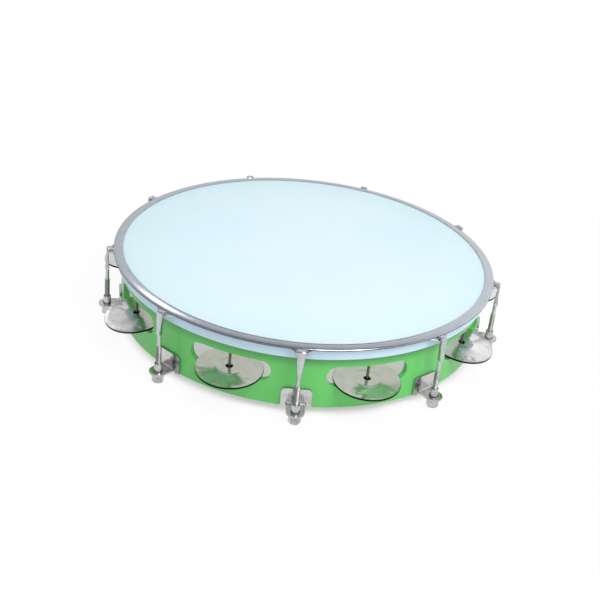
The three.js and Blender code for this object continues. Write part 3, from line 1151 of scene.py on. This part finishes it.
    def hook_bolt(self, finishes: Finishes) -> bpy.types.Object:
        """One hook bolt about its own axis.

        Args:
            finishes: the materials.

        Returns:
            The piece that the nine are copied from.
        """
        rod = self.threaded_rod()
        piece = Bench.join(self.blade(), rod)
        Bench.smooth(piece, 38)
        Bench.dress(piece, finishes.hook, finishes.thread, finishes.blade_edge)
        Bench.paint(piece, 1, lambda middle, normal: middle.z < self.thread_top)
        Bench.paint(piece, 2, lambda middle, normal: middle.z > self.blade_low and abs(normal.y) > 0.5)
        return piece

    def notch_top(self) -> float:
        """The height of the upper end of the notch that the tongue was bent out of."""
        return self.tongue_high + self.tongue_bend + self.notch_rise

    def plate(self) -> bpy.types.Object:
        """The curved plate of a bracket, with its two wings and the notch between them."""
        sweep = 2 * math.asin((self.plate_half + self.plate_aside) / self.plate_inner)
        low, high = self.plate_low - self.tool_over, self.plate_high + self.tool_over
        section = [
            (self.plate_inner, low), (self.plate_outer, low), (self.plate_outer, high), (self.plate_inner, high),
        ]
        piece = Bench.lathe("bracket", section, 16, sweep)
        half, corner, foot, soft = self.plate_half, self.plate_corner, self.foot_cut, self.notch_round
        notch_half, notch_top = self.tongue_half + self.notch, self.notch_top()
        outline = [
            (half - foot, self.plate_low), (half, self.plate_low + foot),
            *arc((half - corner, self.plate_high - corner), corner, 0, 90, 8),
            *arc((-half + corner, self.plate_high - corner), corner, 90, 180, 8),
            (-half, self.plate_low + foot), (-half + foot, self.plate_low), (-notch_half, self.plate_low),
            *arc((-notch_half + soft, notch_top - soft), soft, 180, 90, 4),
            *arc((notch_half - soft, notch_top - soft), soft, 90, 0, 4),
            (notch_half, self.plate_low),
        ]
        near, through = self.plate_inner - self.plate_clear, Vector((2 * self.plate_clear, 0, 0))
        tool = Bench.prism("plate_front", [Vector((near, y, z)) for y, z in outline], through)
        Bench.work(piece, tool, Cut.KEEP)
        return piece

    def tongue(self) -> bpy.types.Object:
        """The tongue that is bent out of the plate, round at its end and drilled for the nut."""
        thick = self.tongue_high - self.tongue_low
        bend = (self.plate_outer + self.tongue_bend, self.tongue_high + self.tongue_bend)
        leg_top, tip = self.notch_top() + thick, self.reach + 2 * self.tongue_half
        side = [
            (self.plate_outer, leg_top),
            *arc(bend, self.tongue_bend, 180, 270, 6),
            (tip, self.tongue_high), (tip, self.tongue_low),
            *arc(bend, self.tongue_bend + thick, 270, 180, 6),
            (self.plate_inner, leg_top),
        ]
        wide = self.tongue_half + self.tool_over
        piece = Bench.prism("tongue", [Vector((x, -wide, z)) for x, z in side], Vector((0, 2 * wide, 0)))
        near, half = self.plate_inner - self.plate_clear, self.tongue_half
        plan = [(near, -half), *arc((self.reach, 0.0), half, -90, 90, 24), (near, half)]
        low, high = self.tongue_cut
        keep = Bench.prism("tongue_plan", [Vector((x, y, low)) for x, y in plan], Vector((0, 0, high - low)))
        Bench.work(piece, keep, Cut.KEEP)
        middle = Vector((self.reach, 0, self.tongue_low))
        Bench.work(piece, Bench.cylinder("drill", 28, self.tongue_hole, self.drill_depth, middle), Cut.AWAY)
        return piece

    def bracket(self, finishes: Finishes) -> bpy.types.Object:
        """One bracket: the curved plate with two wings, and the tongue bent out between them.

        Args:
            finishes: the materials.

        Returns:
            The piece that the nine are copied from.
        """
        piece = self.plate()
        Bench.work(piece, self.tongue(), Cut.ADD)
        Bench.weld(piece, self.bracket_weld)
        Bench.soften(piece, self.bracket_round, segments=2, corner=50)
        Bench.shade(piece, 40)
        Bench.dress(piece, finishes.bracket, finishes.blade_edge)
        Bench.paint(piece, 1, self.is_cut_edge)
        return piece

    def is_cut_edge(self, middle: Vector, normal: Vector) -> bool:
        """Whether a face of the bracket on +X is part of the sheet's cut edge."""
        if middle.x > self.plate_outer + self.tongue_bend:
            return abs(normal.z) < 0.5
        return middle.x < self.plate_outer + self.edge_margin and abs(normal.x) < 0.5

    def nut(self, finishes: Finishes) -> bpy.types.Object:
        """One sleeve nut about its own axis: a chamfered hexagon with the bored sleeve on top.

        Args:
            finishes: the materials.

        Returns:
            The piece that the nine are copied from.
        """
        piece = Bench.cylinder("nut", 6, self.hex_corner, self.hex_top, Vector((0, 0, self.hex_top / 2)))
        Bench.work(piece, Bench.lathe("nut_turning", self.turning, 48), Cut.KEEP)
        Bench.soften(piece, self.hex_round, segments=2, corner=25)
        piece = Bench.join(piece, Bench.lathe("nut_sleeve", self.sleeve, 36))
        Bench.smooth(piece, 32)
        Bench.dress(piece, finishes.nut)
        return piece

    def build(self, finishes: Finishes) -> None:
        """Makes the nine tension points.

        Args:
            finishes: the materials.
        """
        aside = Matrix.Translation((self.reach, 0, 0))
        hook, bracket, nut = self.hook_bolt(finishes), self.bracket(finishes), self.nut(finishes)
        for i in range(PATTERN.bays):
            turn, label = PATTERN.hook_turn(i), i + 1
            axis = turn @ aside
            stand(Bench.copy(hook, f"hook_{label}", axis), "drum", "hook_chrome", f"hook_bolt_{label}")
            stand(Bench.copy(bracket, f"nut_bracket_{label}", turn), "drum", "bracket_chrome", f"bracket_{label}")
            stand(Bench.copy(nut, f"sleeve_nut_{label}", axis), f"nut_{label}", "nut_chrome", f"tension_nut_{label}")
        Bench.discard(hook, bracket, nut)


@dataclass
class Jingles:
    """Nine pairs of dished discs on their nails."""

    wall_middle: float = 0.1432
    # The nail from its head up to its point, as radius and height
    nail: tuple[Spot, ...] = (
        (0.0, 0.0058), (0.0016, 0.0058), (0.0018, 0.0060), (0.0018, 0.0066), (0.0010, 0.0067), (0.0010, 0.04767),
        (0.0003, 0.04967), (0.0, 0.04967),
    )

    radius: float = 0.0245
    thick: float = 0.00030
    boss_high: float = 0.00130
    # The under side of a disc from its hole to its edge, as radius and height
    section: tuple[Spot, ...] = (
        (0.00275, 0.00136), (0.0031, 0.00132), (0.0045, 0.00131), (0.0065, 0.001305), (0.0084, 0.00130),
        (0.0092, 0.00129), (0.0096, 0.00124), (0.0100, 0.00109), (0.0104, 0.00094), (0.0108, 0.00084),
        (0.0113, 0.00077), (0.0120, 0.00066), (0.0130, 0.00052), (0.0140, 0.00037), (0.0150, 0.00025),
        (0.0160, 0.00015), (0.0170, 0.00008), (0.0180, 0.00003), (0.0190, 0.0), (0.0202, 0.0), (0.0212, 0.00001),
        (0.0219, 0.00005), (0.0227, 0.00012), (0.0235, 0.00020), (0.0243, 0.00029),
    )
    edge_round: float = 0.0001
    gap: float = 0.0003
    dimples: int = 5
    dimple_reach: float = 0.0196
    dimple_middle: float = 0.0009
    dimple_size: float = 0.0024
    dimple_depth: float = 0.00026
    # Beyond this reach the underside gets painted shade, for the dark gap between the pair
    gap_shade_reach: float = 0.0230
    map_width: float = 0.06
    spin_step: float = 67.0
    steps: int = 96

    def pin(self, finishes: Finishes) -> bpy.types.Object:
        """One nail about its own axis.

        Args:
            finishes: the materials.

        Returns:
            The piece that the nine are copied from.
        """
        piece = Bench.lathe("nail", self.nail, 20)
        Bench.smooth(piece, 40)
        Bench.dress(piece, finishes.nail)
        return piece

    def dent(self, piece: bpy.types.Object) -> None:
        """Presses the dimples into a disc's flange, evenly round it.

        Args:
            piece: the disc.
        """
        for i in range(self.dimples):
            angle = FULL_TURN * (i + 0.5) / self.dimples
            spot = Vector((self.dimple_reach * math.cos(angle), self.dimple_reach * math.sin(angle)))
            Bench.edit(piece)
            Bench.pick(piece, lambda place, normal: (place.xy - spot).length < self.dimple_middle)
            bpy.ops.transform.translate(
                value=(0, 0, -self.dimple_depth), use_proportional_edit=True,
                proportional_edit_falloff="SMOOTH", proportional_size=self.dimple_size,
            )
            Bench.rest()

    def chart(self, piece: bpy.types.Object) -> None:
        """Gives a disc its map, which its material reads the spun rings from.

        Args:
            piece: the disc.
        """
        chart = piece.data.uv_layers.new(name="disc_map")
        for loop in piece.data.loops:
            place = piece.data.vertices[loop.vertex_index].co
            chart.data[loop.index].uv = (0.5 + place.x / self.map_width, 0.5 + place.y / self.map_width)

    def is_cut_edge(self, middle: Vector, normal: Vector) -> bool:
        """Whether a face takes painted shade: the disc's edge, its hole, or under it where the pair's flanges meet."""
        reach = middle.xy.length
        hole, edge = self.section[0][0] + self.edge_round, self.section[-1][0]
        return reach > edge or reach < hole or (reach > self.gap_shade_reach and normal.z < 0)

    def disc(self, finishes: Finishes) -> bpy.types.Object:
        """One disc, its flange on the XY plane and its raised middle upwards.

        Args:
            finishes: the materials.

        Returns:
            The piece that the eighteen are copied from.
        """
        low, soft = self.section[-1][1], self.edge_round
        high = low + self.thick
        upper = [(r, z + self.thick) for r, z in reversed(self.section)]
        profile = [*self.section, (self.radius, low + soft), (self.radius, high - soft), *upper]
        piece = Bench.lathe("disc", profile, self.steps)
        self.dent(piece)
        self.chart(piece)
        Bench.smooth(piece, 32)
        Bench.dress(piece, finishes.jingle, finishes.jingle_edge_shade)
        # Painted shade: the edge, the hole and the underside near the edge are dark, for the shadowed gap between the
        # pair.
        Bench.paint(piece, 1, self.is_cut_edge)
        return piece

    def lean(self, index: int) -> Matrix:
        """Where a pair's seam crosses its nail, leaning on the slot's outer lower edge.

        Args:
            index: the slot's number from 0.

        Returns:
            The pair's place.
        """
        droop = math.radians(PATTERN.droops[index])
        reach = Shell.outer - self.wall_middle
        rise = self.gap + (self.thick + self.boss_high) / math.cos(droop) + reach * math.tan(droop)
        place = Matrix.Translation((self.wall_middle, 0, Shell.slot_low + rise))
        return PATTERN.slot_turn(index) @ place @ Matrix.Rotation(droop, 4, "Y")

    def build(self, finishes: Finishes) -> None:
        """Makes the nine pairs and their nails.

        Args:
            finishes: the materials.
        """
        pin, disc = self.pin(finishes), self.disc(finishes)
        aside = Matrix.Translation((self.wall_middle, 0, 0))
        over = Matrix.Rotation(math.pi, 4, "X")
        lift = Matrix.Translation((0, 0, self.gap))
        for i in range(PATTERN.bays):
            label, seam = i + 1, self.lean(i)
            spin = Matrix.Rotation(math.radians(self.spin_step * i), 4, "Z")
            nail = Bench.copy(pin, f"nail_{label}", PATTERN.slot_turn(i) @ aside)
            stand(nail, "drum", "steel", f"jingle_pin_{label}")
            for level, place in (("lower", seam @ over), ("upper", seam @ lift)):
                made = Bench.copy(disc, f"{level}_disc_{label}", place @ spin)
                stand(made, f"{level}_jingle_{label}", "jingle_nickel", f"jingle_{level}_{label}")
        Bench.discard(pin, disc)


@dataclass(frozen=True)
class Lamp:
    """A soft square lamp."""

    name: str
    azimuth: float
    elevation: float
    distance: float
    size: float
    power: float
    tint: Colour = (1.0, 1.0, 1.0)
    mirrored: bool = True

    def hang(self, target: Vector) -> None:
        """Hangs the lamp so that it faces a point.

        Args:
            target: the point.
        """
        a, e = math.radians(self.azimuth), math.radians(self.elevation)
        away = Vector((math.cos(a) * math.cos(e), math.sin(a) * math.cos(e), math.sin(e)))
        data = bpy.data.lights.new(self.name, "AREA")
        data.shape = "SQUARE"
        data.size = self.size
        data.energy = self.power
        data.color = self.tint
        lamp = bpy.data.objects.new(self.name, data)
        aim = away.to_track_quat("Z", "Y").to_matrix().to_4x4()
        lamp.matrix_world = Matrix.Translation(target + away * self.distance) @ aim
        lamp.visible_glossy = self.mirrored
        bpy.context.scene.collection.objects.link(lamp)


@dataclass
class Studio:
    """A pale floor, plain soft light and the camera of the photograph."""

    target_height: float = 0.0586
    camera_azimuth: float = 268.09
    elevation: float = 0.4509
    distance: float = 0.8474
    yaw: float = -0.0002
    pitch: float = -0.0480
    roll: float = -0.1081
    focal_pixels: float = 1049.4
    frame_pixels: float = 600.0
    sensor: float = 36.0

    floor_size: float = 8.0
    floor_drop: float = 0.0002
    floor_shade: float = 0.78
    # How far the floor is lifted to white, by the distance from the drum's axis
    floor_lift: tuple[Spot, ...] = ((0.0, 0.30), (0.139, 0.30), (0.147, 0.93), (0.42, 1.0))
    # The world's brightness from straight below, 0, to straight above, 1
    ceiling: tuple[Spot, ...] = (
        (0.0, 0.36), (0.15, 0.42), (0.32, 0.68), (0.5, 0.82), (0.60, 0.95), (0.66, 1.0), (0.78, 1.0),
        (0.82, 0.84), (0.87, 0.66), (0.92, 0.30), (1.0, 0.26),
    )
    ceiling_blue: float = 1.01
    bright_side: float = 345.0
    side_share: Spot = (0.95, 0.40)
    lamp_target: tuple[float, float, float] = (0.0, 0.0, 0.03)
    lamps: tuple[Lamp, ...] = (
        Lamp("key_right", 303.0, 56.0, 1.3, 0.5, 9.8),
        Lamp("overhead", 0.0, 89.0, 1.3, 1.0, 5.7, mirrored=False),
        Lamp("window_left", 111.5, 40.5, 1.5, 0.2, 0.23),
        Lamp("fill_left", 205.0, 40.0, 1.5, 0.9, 1.3, (0.95, 0.98, 1.0), mirrored=False),
    )

    def camera(self) -> None:
        """Sets the camera as fitted to the photograph."""
        e = self.elevation
        aim = Vector((0, math.cos(e), -math.sin(e)))
        right = Vector((1, 0, 0))
        place = Vector((0, -math.cos(e), math.sin(e))) * self.distance
        up = right.cross(aim)
        turn = Matrix.Rotation(self.yaw, 3, up)
        aim, right = turn @ aim, turn @ right
        turn = Matrix.Rotation(self.pitch, 3, right)
        aim, up = turn @ aim, turn @ up
        turn = Matrix.Rotation(self.roll, 3, aim)
        right, up = turn @ right, turn @ up
        about = Matrix.Rotation(math.radians(self.camera_azimuth - 270.0), 4, "Z")
        axes = Matrix((right, up, -aim)).transposed().to_4x4()
        data = bpy.data.cameras.new("photo_camera")
        data.sensor_width = self.sensor
        data.lens = self.focal_pixels / self.frame_pixels * self.sensor
        data.clip_start, data.clip_end = 0.01, 50.0
        camera = bpy.data.objects.new("photo_camera", data)
        target = Matrix.Translation((0, 0, self.target_height))
        camera.matrix_world = target @ about @ Matrix.Translation(place) @ axes
        bpy.context.scene.collection.objects.link(camera)
        bpy.context.scene.camera = camera

    def floor(self) -> None:
        """Lays the pale floor, which keeps the drum's shadow."""
        Bench.rest()
        bpy.ops.mesh.primitive_plane_add(size=self.floor_size, location=(0, 0, -self.floor_drop))
        floor = bpy.context.object
        floor.name = "floor"
        material = bpy.data.materials.new("pale_floor")
        material.use_nodes = True
        sheet = NodeSheet(material.node_tree)
        matte = sheet.add("ShaderNodeBsdfDiffuse", {"Color": (*(self.floor_shade,) * 3, 1.0)})
        glow = sheet.add("ShaderNodeEmission", {"Color": WHITE})
        path = sheet.add("ShaderNodeLightPath").outputs
        seen = sheet.add("ShaderNodeMath", {0: path["Is Camera Ray"], 1: path["Is Glossy Ray"]}, operation="MAXIMUM")
        where = sheet.add("ShaderNodeTexCoord").outputs["Object"]
        away = sheet.add("ShaderNodeVectorMath", {0: where}, operation="LENGTH").outputs["Value"]
        ring = sheet.ramp(away, [(place, (lift, lift, lift)) for place, lift in self.floor_lift])
        share = sheet.add("ShaderNodeMath", {0: seen.outputs[0], 1: ring}, operation="MULTIPLY")
        mix = sheet.add("ShaderNodeMixShader", {0: share.outputs[0], 1: matte.outputs[0], 2: glow.outputs[0]})
        sheet.add("ShaderNodeOutputMaterial", {"Surface": mix.outputs[0]})
        Bench.dress(floor, material)

    def world(self) -> None:
        """Soft light from all round, brightest a third of the way up, and plain white where the camera sees it."""
        world = bpy.data.worlds.new("studio")
        bpy.context.scene.world = world
        world.use_nodes = True
        sheet = NodeSheet(world.node_tree)
        where = sheet.add("ShaderNodeTexCoord").outputs["Generated"]
        split = sheet.add("ShaderNodeSeparateXYZ", {"Vector": where})
        height = sheet.add("ShaderNodeMapRange", {"Value": split.outputs["Z"], "From Min": -1.0})
        stops = [(place, (level, level, level * self.ceiling_blue)) for place, level in self.ceiling]
        colour = sheet.ramp(height.outputs["Result"], stops)
        angle = math.radians(self.bright_side)
        side = (math.cos(angle), math.sin(angle), 0.0)
        facing = sheet.add("ShaderNodeVectorMath", {0: where, 1: side}, operation="DOT_PRODUCT").outputs["Value"]
        middle, swing = self.side_share
        shares = {"Value": facing, "From Min": -1.0, "To Min": middle - swing, "To Max": middle + swing}
        strength = sheet.add("ShaderNodeMapRange", shares).outputs["Result"]
        soft = sheet.add("ShaderNodeBackground", {"Color": colour, "Strength": strength})
        white = sheet.add("ShaderNodeBackground", {"Color": WHITE})
        seen = sheet.add("ShaderNodeLightPath").outputs["Is Camera Ray"]
        mix = sheet.add("ShaderNodeMixShader", {0: seen, 1: soft.outputs[0], 2: white.outputs[0]})
        sheet.add("ShaderNodeOutputWorld", {"Surface": mix.outputs[0]})

    def build(self) -> None:
        """Sets up camera, floor, world and lamps."""
        self.camera()
        self.floor()
        self.world()
        for lamp in self.lamps:
            lamp.hang(Vector(self.lamp_target))
        bpy.context.scene.view_settings.view_transform = "Standard"


def main() -> None:
    """Builds the drum, piece by piece, and the studio round it."""
    logging.basicConfig(level=logging.INFO, format="%(name)s: %(message)s")
    finishes = Finishes()
    Studio().build()
    Shell().build(finishes)
    Head().build(finishes)
    Rim().build(finishes)
    TensionPoints().build(finishes)
    Jingles().build(finishes)


if __name__ == "__main__":
    main()
